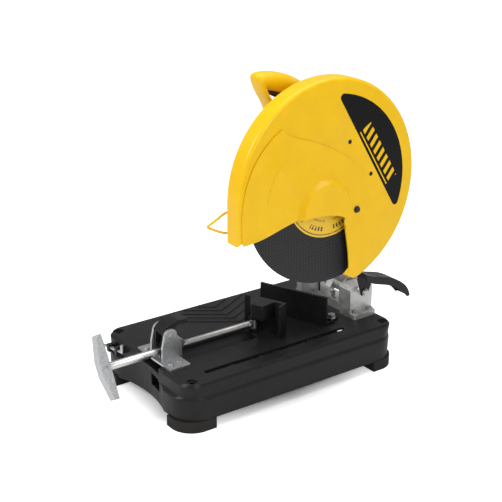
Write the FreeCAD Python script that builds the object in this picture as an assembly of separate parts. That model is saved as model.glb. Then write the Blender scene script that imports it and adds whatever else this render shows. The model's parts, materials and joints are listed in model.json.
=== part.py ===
import FreeCAD, Part
import math
import os

from FreeCAD import Vector

# Abrasive chop saw, 355 mm wheel.  Millimetres.  X is the operator's right, Y points away
# from the operator, Z is up.  The origin is on the floor at the middle of the base.

# ---- base ----
BASE_TOP = 89.0
BASE_BOTTOM = 20.0
BOSS_BOTTOM = 31.0
BASE_HALF_WIDTH = 143.0
BASE_FRONT = -233.0
BASE_REAR = 231.0
WALL = 5.0
CORNER_RADIUS = 28.0
MOUNT_X = 124.0
MOUNT_Y = 213.0
MOUNT_HOLE_RADIUS = 4.5
WHEEL_SLOT_HALF_WIDTH = 5.5

# ---- vise ----
SCREW_X = 17.0
SCREW_Z = 103.0
SCREW_RADIUS = 7.0
THREAD_ROOT_RADIUS = 5.8
THREAD_PITCH = 4.0
THREAD_FRONT = -210.0
THREAD_REAR = -20.0
CRANK_FRONT = -331.0
CRANK_PIN_DEPTH = 11.0
CRANK_TILT = 30.0
VISE_ANGLE = 22.5
SWIVEL = (17.0, -9.0)
SWIVEL_RADIUS = 7.5
JAW_BOTTOM = 90.8
JAW_TOP = 152.0
LEVER_PIN = (-200.0, 137.0)
LEVER_PIN_RADIUS = 4.0

# ---- fence ----
FENCE_ORIGIN = (18.5, 83.5)
FENCE_LEFT = -74.0
FENCE_RIGHT = 70.0
FENCE_TOP = 147.0
FENCE_PIVOT_UV = (20.0, 30.0)
FENCE_SLOT_RADIUS = 45.0

# ---- head ----
PIVOT = (204.0, 136.0)
PIVOT_PIN_RADIUS = 8.0
HEAD_DROP = 35.0
LOCK_REACH = 48.0
LOCK_ANGLE = 151.0
STOP = (4.0, 192.0)
DEFLECTOR_PIVOT = (190.0, 144.0)
BRACKET_BOLTS = [(-64.5, 160), (-64.5, 214), (87, 180), (87, 214)]
SPINDLE = (88.0, 373.0)
MOTOR = (120.0, 400.0)
WHEEL_RADIUS = 177.5
WHEEL_X = 107.0
WHEEL_BORE_RADIUS = 12.7
LABEL_RADIUS = 93.0
FLANGE_RADIUS = 38.0
GUARD_CENTRE = (77.0, 374.0)
GUARD_RADIUS = 194.0
GUARD_LEFT = 86.0
GUARD_SEAM = 106.0
GUARD_RIGHT = 126.0
GUARD_WALL = 2.2
COVER_PIVOT = (135.0, 327.0)
COVER_FACE = 126.7
FRONT_EDGE = [
    (-113, 312.5), (-95, 313.5), (-70, 317), (-32, 327), (11, 336), (55, 336), (95, 327), (106, 321),
]
REAR_EDGE = [(109, 317), (115, 280), (121, 245), (123, 217)]
TAIL_EDGE = [(111, 208), (135, 195), (147, 193), (156, 201), (175, 190)]
JOIN_SCREWS = [(-53, 504), (45, 557), (-104, 395)]
FACE_SCREWS = [(117, 452), (168, 386)]
COVER_OPENING = [(-96, 300), (-92, 400), (-52, 440), (10, 444), (70, 424), (112, 396), (122, 352), (116, 300)]
HANDLE_LEFT = 24.0
HANDLE_SPLIT = 42.0
HANDLE_RIGHT = 60.0
HANDLE_SEAT = 448.5
HANDLE_OUTLINE = [
    (-30, 567), (-24, 574.5), (-3, 575), (39, 566), (60, 556), (91, 537), (120, 510), (129, 480),
    (122, 456), (112, 452), (50, 452), (38, 454), (22, 470), (8, 492), (-9.5, 528), (-22, 548),
]
HANDLE_OPENING = [
    (-8, 545), (4, 541), (50, 526), (78, 512), (90, 496), (88, 482), (76, 475), (48, 474),
    (34, 480), (20, 500), (3, 532),
]
TRIGGER_PIVOT = (50.0, 536.0)

# ---- drive ----
MOTOR_RADIUS = 46.0
MOTOR_END = -95.0
GEAR_TEETH = 41
PINION_TEETH = 9
SPINDLE_SHAFT_RADIUS = 8.5
MOTOR_SHAFT_RADIUS = 6.0
CASE_LEFT = 24.0
CASE_OPEN = 74.0
CASE_RIGHT = 84.0
COVER_SCREW_ANGLES = (100, 180, 250, 320)
LOCK_BUTTON_X = 43.0

# ---- fits ----
RUNNING = 0.08
AIR = 0.3


def block(x0, x1, y0, y1, z0, z1):
    return Part.makeBox(x1 - x0, y1 - y0, z1 - z0, Vector(x0, y0, z0))


def rod_x(x0, x1, y, z, radius):
    return Part.makeCylinder(radius, x1 - x0, Vector(x0, y, z), Vector(1, 0, 0))


def rod_y(y0, y1, x, z, radius):
    return Part.makeCylinder(radius, y1 - y0, Vector(x, y0, z), Vector(0, 1, 0))


def rod_z(z0, z1, x, y, radius):
    return Part.makeCylinder(radius, z1 - z0, Vector(x, y, z0), Vector(0, 0, 1))


def ring_x(x0, x1, y, z, outer, inner):
    return rod_x(x0, x1, y, z, outer).cut(rod_x(x0 - 1, x1 + 1, y, z, inner))


def ring_z(z0, z1, x, y, outer, inner):
    return rod_z(z0, z1, x, y, outer).cut(rod_z(z0 - 1, z1 + 1, x, y, inner))


def plate_yz(outline, x0, x1):
    """A plate square to X, from corners given as (y, z)."""
    corners = [Vector(x0, y, z) for y, z in outline]
    face = Part.Face(Part.makePolygon(corners + corners[:1]))
    return face.extrude(Vector(x1 - x0, 0, 0))


def plate_xy(outline, z0, z1):
    """A plate square to Z, from corners given as (x, y)."""
    corners = [Vector(x, y, z0) for x, y in outline]
    face = Part.Face(Part.makePolygon(corners + corners[:1]))
    return face.extrude(Vector(0, 0, z1 - z0))


def hexagon_x(x0, x1, y, z, across_flats):
    reach = across_flats / math.sqrt(3.0)
    turns = [math.radians(60 * k) for k in range(6)]
    return plate_yz([(y + reach * math.cos(t), z + reach * math.sin(t)) for t in turns], x0, x1)


def hexagon_z(z0, z1, x, y, across_flats):
    reach = across_flats / math.sqrt(3.0)
    turns = [math.radians(60 * k) for k in range(6)]
    return plate_xy([(x + reach * math.cos(t), y + reach * math.sin(t)) for t in turns], z0, z1)


def fuse(*shapes):
    return shapes[0].multiFuse(list(shapes[1:])).removeSplitter()


def group(*shapes):
    return Part.makeCompound(list(shapes))


def turned_x(shape, y, z, degrees):
    return shape.rotated(Vector(0, y, z), Vector(1, 0, 0), degrees)


def smooth_outline(points, x):
    """A closed smooth curve square to X through the (y, z) points."""
    curve = Part.BSplineCurve()
    curve.interpolate(Points=[Vector(x, y, z) for y, z in points], PeriodicFlag=True)
    return Part.Wire([curve.toShape()])


def smooth_plate(points, x0, x1):
    return Part.Face(smooth_outline(points, x0)).extrude(Vector(x1 - x0, 0, 0))


def inset(points, distance):
    """Move the (y, z) points of a counter-clockwise outline inwards, or outwards if negative."""
    moved = []
    count = len(points)
    area = sum(
        points[k - 1][0] * points[k][1] - points[k][0] * points[k - 1][1] for k in range(count)
    )
    sign = math.copysign(1, area)
    for k in range(count):
        run = points[(k + 1) % count][0] - points[k - 1][0]
        rise = points[(k + 1) % count][1] - points[k - 1][1]
        length = math.hypot(run, rise)
        moved.append((
            points[k][0] - sign * distance * rise / length,
            points[k][1] + sign * distance * run / length,
        ))
    return moved


def around(centre, radius, degrees):
    """The (y, z) point at an angle about a centre."""
    turn = math.radians(degrees)
    return (centre[0] + radius * math.cos(turn), centre[1] + radius * math.sin(turn))


# the gears mesh and the lock pin lines up with its hole in the raised head
LOCK = around(PIVOT, LOCK_REACH, LOCK_ANGLE)
GEAR_TO_PINION = math.degrees(math.atan2(MOTOR[1] - SPINDLE[1], MOTOR[0] - SPINDLE[0]))
PINION_PHASE = GEAR_TO_PINION + 180.0
GEAR_PHASE = GEAR_TO_PINION + 180.0 / GEAR_TEETH


def vertical_edges(shape):
    return [e for e in shape.Edges if abs(e.tangentAt(e.FirstParameter).z) > 0.999]


def rounded_block(x0, x1, y0, y1, z0, z1, radius):
    body = block(x0, x1, y0, y1, z0, z1)
    return body.makeFillet(radius, vertical_edges(body))


def rounded_outline(half_width, front, rear, radius, z):
    """A rounded rectangle as a wire, for lofting the base wall."""
    body = rounded_block(-half_width, half_width, front, rear, z, z + 1, radius)
    bottom = min(body.Faces, key=lambda f: f.CenterOfMass.z)
    return bottom.OuterWire


def save(name, shape):
    shape.exportStep("parts/" + name + ".step")


# ---------------------------------------------------------------- base


def base_pan():
    sections = [
        (BASE_HALF_WIDTH + 1, BASE_FRONT - 7, BASE_REAR + 5, 46, BASE_BOTTOM),
        (BASE_HALF_WIDTH + 2, BASE_FRONT - 8, BASE_REAR + 7, 47, 57),
        (BASE_HALF_WIDTH + 1.5, BASE_FRONT - 7.5, BASE_REAR + 6.5, 46, 60),
        (BASE_HALF_WIDTH - 1.5, BASE_FRONT - 1, BASE_REAR, 34, 64),
        (BASE_HALF_WIDTH - 1, BASE_FRONT, BASE_REAR, CORNER_RADIUS, 84),
        (BASE_HALF_WIDTH - 4, BASE_FRONT + 5, BASE_REAR - 5, CORNER_RADIUS - 4, BASE_TOP),
    ]
    wires = [rounded_outline(*section) for section in sections]
    shell = Part.makeLoft(wires, True, True)
    hollow = rounded_block(
        WALL - BASE_HALF_WIDTH, BASE_HALF_WIDTH - WALL,
        BASE_FRONT + WALL, BASE_REAR - WALL,
        BASE_BOTTOM - 1, BASE_TOP - WALL, 26,
    )
    front_wall = block(-70, 66, BASE_FRONT + 1, -214, BASE_BOTTOM, BASE_TOP - 1)
    well_floor = block(-18, 52, -222, -14, 71, BASE_TOP - 1)
    pan = shell.cut(hollow).fuse([front_wall, well_floor])
    for x in (-MOUNT_X, MOUNT_X):
        for y in (-MOUNT_Y, MOUNT_Y):
            pan = pan.fuse(rod_z(BOSS_BOTTOM, BASE_TOP - 2, x, y, 10))
            inward_x = x - math.copysign(26, x)
            inward_y = y - math.copysign(26, y)
            pan = pan.fuse(rod_z(BOSS_BOTTOM, BASE_TOP - 2, inward_x, inward_y, 8))
    for y in (-60, 40, 120):
        pan = pan.fuse(block(-139, 139, y - 2, y + 2, 45, BASE_TOP - 2))
    # front scoop for the crank, the vise well and the wheel slot
    scoop_radius = 230
    scoop = rod_z(BASE_BOTTOM - 1, BASE_TOP + 1, -2, BASE_FRONT - 1 - scoop_radius + 7, scoop_radius)
    pan = pan.cut(scoop)
    pan = pan.cut(rounded_block(-13, 47, -260, -20, 76, BASE_TOP + 1, 6))
    slot = (WHEEL_X - WHEEL_SLOT_HALF_WIDTH, WHEEL_X + WHEEL_SLOT_HALF_WIDTH)
    pan = pan.cut(rounded_block(slot[0], slot[1], -177, 133, 40, BASE_TOP + 1, 5))
    # drainage window in the front wall
    pan = pan.cut(block(14, 49, -245, -210, 43, 65))
    # nested chevron ridges on the left of the deck
    ridges = []
    for apex in (-112, -91, -70, -49, -28):
        front_run = min(apex + 132, 80)
        rear_run = min((apex + 132) / 0.525, 96)
        spine = [
            (apex - front_run, -7 - 1.4 * front_run),
            (apex, -7),
            (apex - 0.525 * rear_run, -7 + rear_run),
        ]
        outline = spine + [(x - 4.2, y) for x, y in spine[::-1]]
        ridges.append(plate_xy(outline, BASE_TOP - 0.5, BASE_TOP + 1.2))
    pan = pan.fuse(ridges)
    # holes for everything that is bolted to the deck
    for x in (-25, 55):
        for y in (-212, -194):
            pan = pan.cut(rod_z(60, BASE_TOP + 5, x, y, 3))
    for x, y in BRACKET_BOLTS:
        pan = pan.cut(rod_z(60, BASE_TOP + 5, x, y, 3.5))
    pan = pan.cut(rod_z(60, BASE_TOP + 5, STOP[0], STOP[1], 3.5))
    for offset_u in (0, FENCE_SLOT_RADIUS):
        hole = rod_z(60, BASE_TOP + 5, FENCE_PIVOT_UV[0] + offset_u, FENCE_PIVOT_UV[1], 4.0)
        pan = pan.cut(at_vise_angle(hole, *FENCE_ORIGIN))
    # bench bolt holes with a washer seat
    for x in (-MOUNT_X, MOUNT_X):
        for y in (-MOUNT_Y, MOUNT_Y):
            pan = pan.cut(rod_z(30, BASE_TOP + 2, x, y, MOUNT_HOLE_RADIUS))
            pan = pan.cut(rod_z(BASE_TOP - 3, BASE_TOP + 2, x, y, 9))
            pan = pan.cut(rod_z(30, 50, x - math.copysign(26, x), y - math.copysign(26, y), 2.5))
    return pan.removeSplitter()


def rubber_feet():
    """Four corner boots: each is a piece of the rounded skirt outline, with a plug inside the wall."""
    outline = rounded_block(
        -BASE_HALF_WIDTH - 2, BASE_HALF_WIDTH + 2, BASE_FRONT - 10, BASE_REAR + 8, 0, BASE_BOTTOM, 42,
    )
    plugs = rounded_block(
        WALL + 0.5 - BASE_HALF_WIDTH, BASE_HALF_WIDTH - WALL - 0.5,
        BASE_FRONT + WALL + 0.5, BASE_REAR - WALL - 0.5, BASE_BOTTOM, BOSS_BOTTOM, 25,
    )
    feet = []
    for side in (-1, 1):
        for end in (-1, 1):
            x = sorted((side * 88, side * 150))
            y = sorted((end * 178, end * 245))
            corner = block(x[0], x[1], y[0], y[1], 0, BOSS_BOTTOM)
            foot = outline.common(corner).fuse(plugs.common(corner))
            foot = foot.cut(rod_z(-1, 32, side * MOUNT_X, end * MOUNT_Y, MOUNT_HOLE_RADIUS))
            hole_x = side * (MOUNT_X - 26)
            hole_y = end * (MOUNT_Y - 26)
            foot = foot.cut(rod_z(-1, 32, hole_x, hole_y, 2.6))
            foot = foot.cut(rod_z(-1, 8, hole_x, hole_y, 6.5))
            feet.append(foot.removeSplitter())
    return group(*feet)


def foot_screws():
    screws = []
    for x in (-MOUNT_X + 26, MOUNT_X - 26):
        for y in (-MOUNT_Y + 26, MOUNT_Y - 26):
            screws.append(fuse(rod_z(4.5, 8, x, y, 6), rod_z(8, 48, x, y, 2.5)))
    return group(*screws)


def stowed_wrench():
    """A hexagon key in its clip on the front wall."""
    y = BASE_FRONT - 13
    long_leg = Part.makeCylinder(3, 64, Vector(-118, y, 72), Vector(0.985, 0, 0.17))
    short_leg = rod_z(81, 96, -55, y, 3)
    clip = fuse(
        block(-104, -96, y - 4.5, BASE_FRONT + 1, 68, 82),
        block(-76, -68, y - 4.5, BASE_FRONT + 1, 72, 86),
    )
    return fuse(long_leg, short_leg), clip.cut(long_leg)


# ---------------------------------------------------------------- vise


def vise_bracket():
    y, z = LEVER_PIN
    ear_outline = [(-218, 91), (-177, 91), (-178.5, 118), (-187.4, z), (-212.6, z), (-217, 118)]
    ears = []
    for x0 in (-4.0, 33.0):
        ears.append(plate_yz(ear_outline, x0, x0 + 5).fuse(rod_x(x0, x0 + 5, y, z, 12.6)))
    foot = rounded_block(-39, 73, -224, -182, BASE_TOP, BASE_TOP + 4, 3)
    saddle = block(8, 26, -216, -184, BASE_TOP + 3.5, SCREW_Z - 3)
    saddle = saddle.cut(rod_y(-230, -170, SCREW_X, SCREW_Z, SCREW_RADIUS + AIR))
    bracket = fuse(foot, ears[0], ears[1], saddle)
    bracket = bracket.cut(rod_x(-10, 45, y, z, LEVER_PIN_RADIUS))
    for x in (-25, 55):
        for hole_y in (-212, -194):
            bracket = bracket.cut(rod_z(80, 100, x, hole_y, 3))
    return bracket


def bracket_bolts():
    bolts = []
    for x in (-25, 55):
        for y in (-212, -194):
            top = BASE_TOP + 4
            bolts.append(fuse(rod_z(70, top, x, y, 3), rod_z(top, top + 2.6, x, y, 5.2)))
    return group(*bolts)


def lever_pin():
    y, z = LEVER_PIN
    return fuse(
        rod_x(-4, 38, y, z, LEVER_PIN_RADIUS),
        rod_x(-6.5, -4, y, z, 6.5),
        rod_x(38, 39.2, y, z, 3.2),
    )


def half_nut():
    y, z = LEVER_PIN
    hanger = [(-205.5, 137), (-194, 137), (-172, 119), (-172, SCREW_Z + 1), (-196, SCREW_Z + 1), (-196, 118)]
    nut = fuse(
        plate_yz(hanger, 7, 27),
        rod_x(7, 27, y, z, 7.5),
        rod_x(7, 27, -172, 112, 7),
    )
    nut = nut.cut(rod_y(-230, -150, SCREW_X, SCREW_Z, SCREW_RADIUS + AIR))
    return nut.cut(rod_x(0, 40, y, z, LEVER_PIN_RADIUS + RUNNING))


def vise_lever():
    y, z = LEVER_PIN
    side_outline = [
        (-212, 107), (-212, 139), (-207, 150), (-197, 156.5), (-180, 160), (-161, 158),
        (-161, 150), (-180, 151), (-188, 146), (-189, 130), (-200, 124), (-204, 107),
    ]
    web_outline = [
        (-212, 139), (-207, 150), (-197, 156.5), (-180, 160), (-161, 158),
        (-161, 154.5), (-180, 156.5), (-195.5, 153), (-204, 147.5), (-208.5, 138.5),
    ]
    lever = fuse(
        plate_yz(side_outline, 3, 6.5),
        plate_yz(side_outline, 27.5, 31),
        plate_yz(web_outline, 3, 31),
    )
    return lever.cut(rod_x(0, 40, y, z, LEVER_PIN_RADIUS + RUNNING))


def vise_screw():
    """Plain shank, ridged thread, collar and journal, turned about the screw axis."""
    profile = [(0, CRANK_FRONT + 3), (SCREW_RADIUS, CRANK_FRONT + 3), (SCREW_RADIUS, THREAD_FRONT)]
    ridges = int((THREAD_REAR - THREAD_FRONT - 6) / THREAD_PITCH)
    y = THREAD_FRONT
    for _ in range(ridges):
        profile += [
            (THREAD_ROOT_RADIUS, y + 0.9), (THREAD_ROOT_RADIUS, y + 1.9),
            (SCREW_RADIUS, y + 2.8), (SCREW_RADIUS, y + THREAD_PITCH),
        ]
        y += THREAD_PITCH
    journal_end = SWIVEL[1] + 3.5
    profile += [(SCREW_RADIUS, THREAD_REAR + 2), (4.5, THREAD_REAR + 2), (4.5, journal_end), (0, journal_end)]
    corners = [Vector(r, y, 0) for r, y in profile]
    face = Part.Face(Part.makePolygon(corners + corners[:1]))
    turned = face.revolve(Vector(0, 0, 0), Vector(0, 1, 0), 360)
    turned.translate(Vector(SCREW_X, 0, SCREW_Z))
    cross_hole = rod_x(SCREW_X - 20, SCREW_X + 20, CRANK_FRONT + CRANK_PIN_DEPTH, SCREW_Z, 2.5)
    return turned.cut(cross_hole.rotated(Vector(SCREW_X, 0, SCREW_Z), Vector(0, 1, 0), -CRANK_TILT))


def crank():
    """A folded sheet channel: a web across the end of the screw and two flanges that taper to the ends."""
    half = 57
    web = [
        (-half, CRANK_FRONT + 9), (-14, CRANK_FRONT), (14, CRANK_FRONT), (half, CRANK_FRONT + 9),
        (half, CRANK_FRONT + 11.5), (14, CRANK_FRONT + 2.5),
        (-14, CRANK_FRONT + 2.5), (-half, CRANK_FRONT + 11.5),
    ]
    flange = [
        (-half, CRANK_FRONT + 9), (-14, CRANK_FRONT), (14, CRANK_FRONT), (half, CRANK_FRONT + 9),
        (half, CRANK_FRONT + 18), (16, CRANK_FRONT + 19), (-16, CRANK_FRONT + 19), (-half, CRANK_FRONT + 18),
    ]

    def across(outline, x0, x1):
        corners = [Vector(x0, y, s) for s, y in outline]
        face = Part.Face(Part.makePolygon(corners + corners[:1]))
        return face.extrude(Vector(x1 - x0, 0, 0))

    body = fuse(across(web, -10, 10), across(flange, -10, -7.6), across(flange, 7.6, 10))
    body = body.cut(rod_x(-20, 20, CRANK_FRONT + CRANK_PIN_DEPTH, 0, 2.5))
    body.translate(Vector(SCREW_X, 0, SCREW_Z))
    return body.rotated(Vector(SCREW_X, 0, SCREW_Z), Vector(0, 1, 0), -CRANK_TILT)


def crank_pin():
    pin = ring_x(SCREW_X - 11, SCREW_X + 11, CRANK_FRONT + CRANK_PIN_DEPTH, SCREW_Z, 2.5, 1.2)
    return pin.rotated(Vector(SCREW_X, 0, SCREW_Z), Vector(0, 1, 0), -CRANK_TILT)


def swivel_block():
    x, y = SWIVEL
    barrel = fuse(
        rod_z(95, 112, x, y, SWIVEL_RADIUS),
        rod_z(112, 121, x, y, 5),
        rod_z(90.8, 95, x, y, 5),
    )
    return barrel.cut(rod_y(y - 10, y + 4, x, SCREW_Z, 4.5 + RUNNING))


def at_vise_angle(shape, x, y):
    """Place a shape drawn square about the origin at (x, y), turned to the vise angle."""
    shape = shape.rotated(Vector(0, 0, 0), Vector(0, 0, 1), VISE_ANGLE)
    shape.translate(Vector(x, y, 0))
    return shape


def vise_jaw():
    face_plate = block(-25, 61, 9, 15, JAW_BOTTOM, JAW_TOP)
    end_flange = block(57, 61, -8, 15, JAW_BOTTOM, JAW_TOP)
    boss = plate_xy([(-13, 10), (41, 10), (32, -22), (9, -22)], 124, JAW_TOP)
    boss = boss.cut(plate_xy([(-6, 9), (35, 9), (29, -18), (12, -18)], 120, JAW_TOP - 4))
    top_lug = fuse(rod_z(112.6, 118, 0, 0, 9), block(-9, 9, 0, 10, 112.6, 118))
    bottom_lug = fuse(rod_z(JAW_BOTTOM, 94.4, 0, 0, 9), block(-9, 9, 0, 10, JAW_BOTTOM, 94.4))
    stay = block(-9, -6, 8.5, 10, 94, 124)
    jaw = fuse(face_plate, end_flange, boss, top_lug, bottom_lug, stay)
    jaw = jaw.cut(rod_z(80, 130, 0, 0, 5 + RUNNING))
    return at_vise_angle(jaw, *SWIVEL)


# ---------------------------------------------------------------- fence


def fence():
    u, v = FENCE_PIVOT_UV
    wall = block(FENCE_LEFT, FENCE_RIGHT, 0, 4.5, BASE_TOP + AIR, FENCE_TOP)
    flange = block(FENCE_LEFT, 46, 0, 46, BASE_TOP + AIR, BASE_TOP + 5)
    flange = flange.makeFillet(10, [e for e in vertical_edges(flange) if e.CenterOfMass.y > 40])
    # the slotted ear is a band about the pivot bolt
    ear = ring_z(BASE_TOP + AIR, BASE_TOP + 5, u, v, 53, 30)
    reach = [
        (u + 100 * math.cos(math.radians(a)), v + 100 * math.sin(math.radians(a)))
        for a in (-33, 0, 33)
    ]
    wedge = plate_xy([(u, v)] + reach, 80, 100)
    bracket = fuse(wall, flange, ear.common(wedge).cut(block(0, 200, -60, 0, 80, 200)))
    inner = FENCE_SLOT_RADIUS - 4.4
    outer = FENCE_SLOT_RADIUS + 4.4
    slot_reach = [
        (u + 100 * math.cos(math.radians(a)), v + 100 * math.sin(math.radians(a)))
        for a in (-23, 0, 23)
    ]
    slot = ring_z(80, 100, u, v, outer, inner).common(plate_xy([(u, v)] + slot_reach, 80, 100))
    bracket = bracket.cut(slot)
    for a in (-23, 23):
        end_u = u + FENCE_SLOT_RADIUS * math.cos(math.radians(a))
        end_v = v + FENCE_SLOT_RADIUS * math.sin(math.radians(a))
        bracket = bracket.cut(rod_z(80, 100, end_u, end_v, 4.4))
    bracket = bracket.cut(rod_z(80, 100, u, v, 4.0 + RUNNING))
    return at_vise_angle(bracket, *FENCE_ORIGIN)


def fence_bolt(offset_u):
    """Flanged hexagon bolt through the fence into the deck."""
    u, v = FENCE_PIVOT_UV
    top = BASE_TOP + 5 + AIR
    bolt = fuse(
        rod_z(74, top, u + offset_u, v, 4.0),
        rod_z(top, top + 1.8, u + offset_u, v, 8),
        hexagon_z(top + 1.8, top + 8, u + offset_u, v, 13),
    )
    return at_vise_angle(bolt, *FENCE_ORIGIN)


# ---------------------------------------------------------------- pivot bracket


def pivot_bracket():
    y, z = PIVOT
    floor = fuse(
        rounded_block(-72, 93, 178, 225, BASE_TOP, 98, 6),
        rounded_block(45, 93, 170, 225, BASE_TOP, 98, 6),
        rounded_block(-72, -39, 150, 225, BASE_TOP, 98, 6),
    )
    right = plate_yz([(170, 97), (224, 97), (224, 145), (218, 150), (178, 150), (170, 144)], 46, 80)
    left = plate_yz(
        [(150, 97), (224, 97), (224, 145), (214, 156), (174, 171), (152, 171), (148, 160)], -57, -40,
    )
    wall = block(-41, 47, 178, 184, 97, 106)
    boss = rod_x(79, 93.6, DEFLECTOR_PIVOT[0], DEFLECTOR_PIVOT[1], 5.5)
    bracket = fuse(floor, right, left, wall, boss)
    bracket = bracket.cut(block(54, 72, 176, 230, 80, 116))
    bracket = bracket.cut(block(79.2, 83, 160, 230, 98, 104))
    bracket = bracket.cut(rod_x(70, 100, DEFLECTOR_PIVOT[0], DEFLECTOR_PIVOT[1], 3.0))
    bracket = bracket.cut(rod_x(-80, 100, y, z, PIVOT_PIN_RADIUS))
    bracket = bracket.cut(rod_x(-80, 0, LOCK[0], LOCK[1], 4.0 + RUNNING))
    for x, hole_y in BRACKET_BOLTS:
        bracket = bracket.cut(rod_z(80, 120, x, hole_y, 3.5))
    bracket = bracket.cut(rod_z(80, 180, STOP[0], STOP[1], 3.5))
    return bracket


def pivot_bolts():
    bolts = []
    for x, y in BRACKET_BOLTS:
        bolts.append(fuse(
            rod_z(72, 98, x, y, 3.5),
            rod_z(98, 99.4, x, y, 6.2),
            hexagon_z(99.4, 104, x, y, 10),
        ))
    return group(*bolts)


def pivot_pin():
    y, z = PIVOT
    return fuse(
        rod_x(-61, 80, y, z, PIVOT_PIN_RADIUS),
        rod_x(80, 84.5, y, z, 9.5),
        hexagon_x(-62, -57, y, z, 19),
    )


def return_spring():
    """Torsion spring round the left of the pivot pin, one leg on the wall and one under the arm."""
    y, z = PIVOT
    coils = [
        Part.makeTorus(12.5, 1.7, Vector(x, y, z), Vector(1, 0, 0))
        for x in (-37.5, -34.2, -30.9, -27.6, -24.3)
    ]
    link = rod_x(-37.5, -24.3, y + 12.5, z, 1.2)
    leg = rod_z(98, z + 1, -37.5, y - 12.5, 1.6)
    return fuse(*(coils + [link, leg]))


def stop_bolt():
    x, y = STOP
    return fuse(rod_z(82, 108, x, y, 3.5), hexagon_z(108, 113.2, x, y, 10))


def stop_nut():
    x, y = STOP
    return hexagon_z(98, 103, x, y, 11).cut(rod_z(90, 110, x, y, 3.5 + AIR))


def lock_pin():
    """Pull pin that holds the head down: rod with a knob, drawn out."""
    y, z = LOCK
    return fuse(
        rod_x(-72, -41, y, z, 4.0),
        rod_x(-84, -72, y, z, 8),
        rod_x(-88, -84, y, z, 6),
    )


def curve_yz(points, x):
    """A smooth open curve square to X through the (y, z) points."""
    curve = Part.BSplineCurve()
    curve.interpolate([Vector(x, y, z) for y, z in points])
    return curve.toShape()


def between(upper, lower, x0, x1):
    """A plate square to X between two smooth curves that are closed off by straight ends."""
    first = curve_yz(upper, x0)
    second = curve_yz(lower[::-1], x0)
    ends = [
        Part.makeLine(first.Vertexes[-1].Point, second.Vertexes[0].Point),
        Part.makeLine(second.Vertexes[-1].Point, first.Vertexes[0].Point),
    ]
    face = Part.Face(Part.Wire([first, ends[0], second, ends[1]]))
    return face.extrude(Vector(x1 - x0, 0, 0))


def spark_deflector():
    """Hood behind the wheel: a curved top between two cheeks, turning on the bracket's right boss."""
    top = [(164, 195), (189, 185), (222, 176), (250, 162), (269, 145), (277, 126)]
    under = [(163, 192.4), (188, 182.4), (221, 173.4), (248.6, 159.8), (266.6, 143.6), (274.4, 126)]
    lower = [(167, 180), (190, 170), (222, 160), (245, 148), (262, 135), (270, 126)]
    roof = between(top, under, 94, 128)
    cheek = between(top, lower, 94, 96.5)
    far_cheek = between(top, lower, 125.5, 128)
    ear = plate_yz([(183, 138), (197, 138), (206, 158), (211, 166), (176, 180), (172, 174)], 94, 97)
    hood = fuse(roof, cheek, far_cheek, ear)
    return hood.cut(rod_x(90, 100, DEFLECTOR_PIVOT[0], DEFLECTOR_PIVOT[1], 3.0 + RUNNING))


def deflector_screw():
    y, z = DEFLECTOR_PIVOT
    return fuse(rod_x(72, 97.3, y, z, 3.0), rod_x(97.3, 99.3, y, z, 7), hexagon_x(99.3, 103, y, z, 10))


# ---------------------------------------------------------------- head casting and drive


def arm():
    """The casting that carries motor, spindle, guard and handle, hinged on the pivot pin."""
    y, z = PIVOT
    hub = rod_x(-20, 42, y, z, 19)
    beam = plate_yz(
        [(188, 128), (186, 144), (62, 340), (62, 348), (146, 348), (150, 330), (222, 150), (220, 128)],
        -10, 36,
    )
    case = fuse(
        rod_x(CASE_LEFT, CASE_OPEN, SPINDLE[0], SPINDLE[1], 56),
        rod_x(CASE_LEFT, CASE_OPEN, MOTOR[0], MOTOR[1], 48),
    )
    rib = plate_yz([(100, 268), (70, 330), (146, 350), (158, 312)], 30, 70)
    seat = block(30, 54, 50, 112, 410, HANDLE_SEAT)
    lock_at = around(PIVOT, LOCK_REACH, LOCK_ANGLE - HEAD_DROP)
    lock_boss = rod_x(-36, -9, lock_at[0], lock_at[1], 9)
    toe = plate_yz([(186, 113.6), (198, 113.6), (198, 130), (186, 130)], -4, 12)
    toe = turned_x(toe, y, z, -HEAD_DROP)
    body = fuse(hub, beam, case, rib, seat, lock_boss, toe)
    cored = plate_yz([(178, 190), (92, 326), (92, 334), (134, 334), (134, 322), (197, 190)], -12, -4)
    body = body.cut(cored)
    body = body.cut(rod_x(36, 80, SPINDLE[0], SPINDLE[1], 47))
    body = body.cut(rod_x(36, 80, MOTOR[0], MOTOR[1], 16))
    body = body.cut(rod_x(20, 26, SPINDLE[0], SPINDLE[1], 10))
    body = body.cut(rod_x(26, 40, SPINDLE[0], SPINDLE[1], 15))
    body = body.cut(rod_x(20, 40, MOTOR[0], MOTOR[1], 13))
    body = body.cut(rod_y(20, 60, LOCK_BUTTON_X, SPINDLE[1], 3.5 + RUNNING))
    body = body.cut(rod_x(-30, 50, y, z, PIVOT_PIN_RADIUS + RUNNING))
    return body.cut(rod_x(-40, -24, lock_at[0], lock_at[1], 4.3))


def gear_cover():
    body = fuse(
        rod_x(CASE_OPEN, CASE_RIGHT, SPINDLE[0], SPINDLE[1], 56),
        rod_x(CASE_OPEN, CASE_RIGHT, MOTOR[0], MOTOR[1], 48),
        rod_x(CASE_RIGHT, GUARD_LEFT, SPINDLE[0], SPINDLE[1], 34),
    )
    body = body.cut(rod_x(70, 90, SPINDLE[0], SPINDLE[1], 10))
    body = body.cut(rod_x(70, 84, SPINDLE[0], SPINDLE[1], 15))
    for angle in COVER_SCREW_ANGLES:
        spot = around(SPINDLE, 51, angle)
        body = body.cut(rod_x(60, 90, spot[0], spot[1], 2.5))
    return body


def gear_cover_screws():
    screws = []
    for angle in COVER_SCREW_ANGLES:
        y, z = around(SPINDLE, 51, angle)
        head = rod_x(CASE_RIGHT, CASE_RIGHT + 1.7, y, z, 4.6)
        screws.append(fuse(rod_x(74.2, CASE_RIGHT, y, z, 2.5), head))
    return group(*screws)


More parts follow.
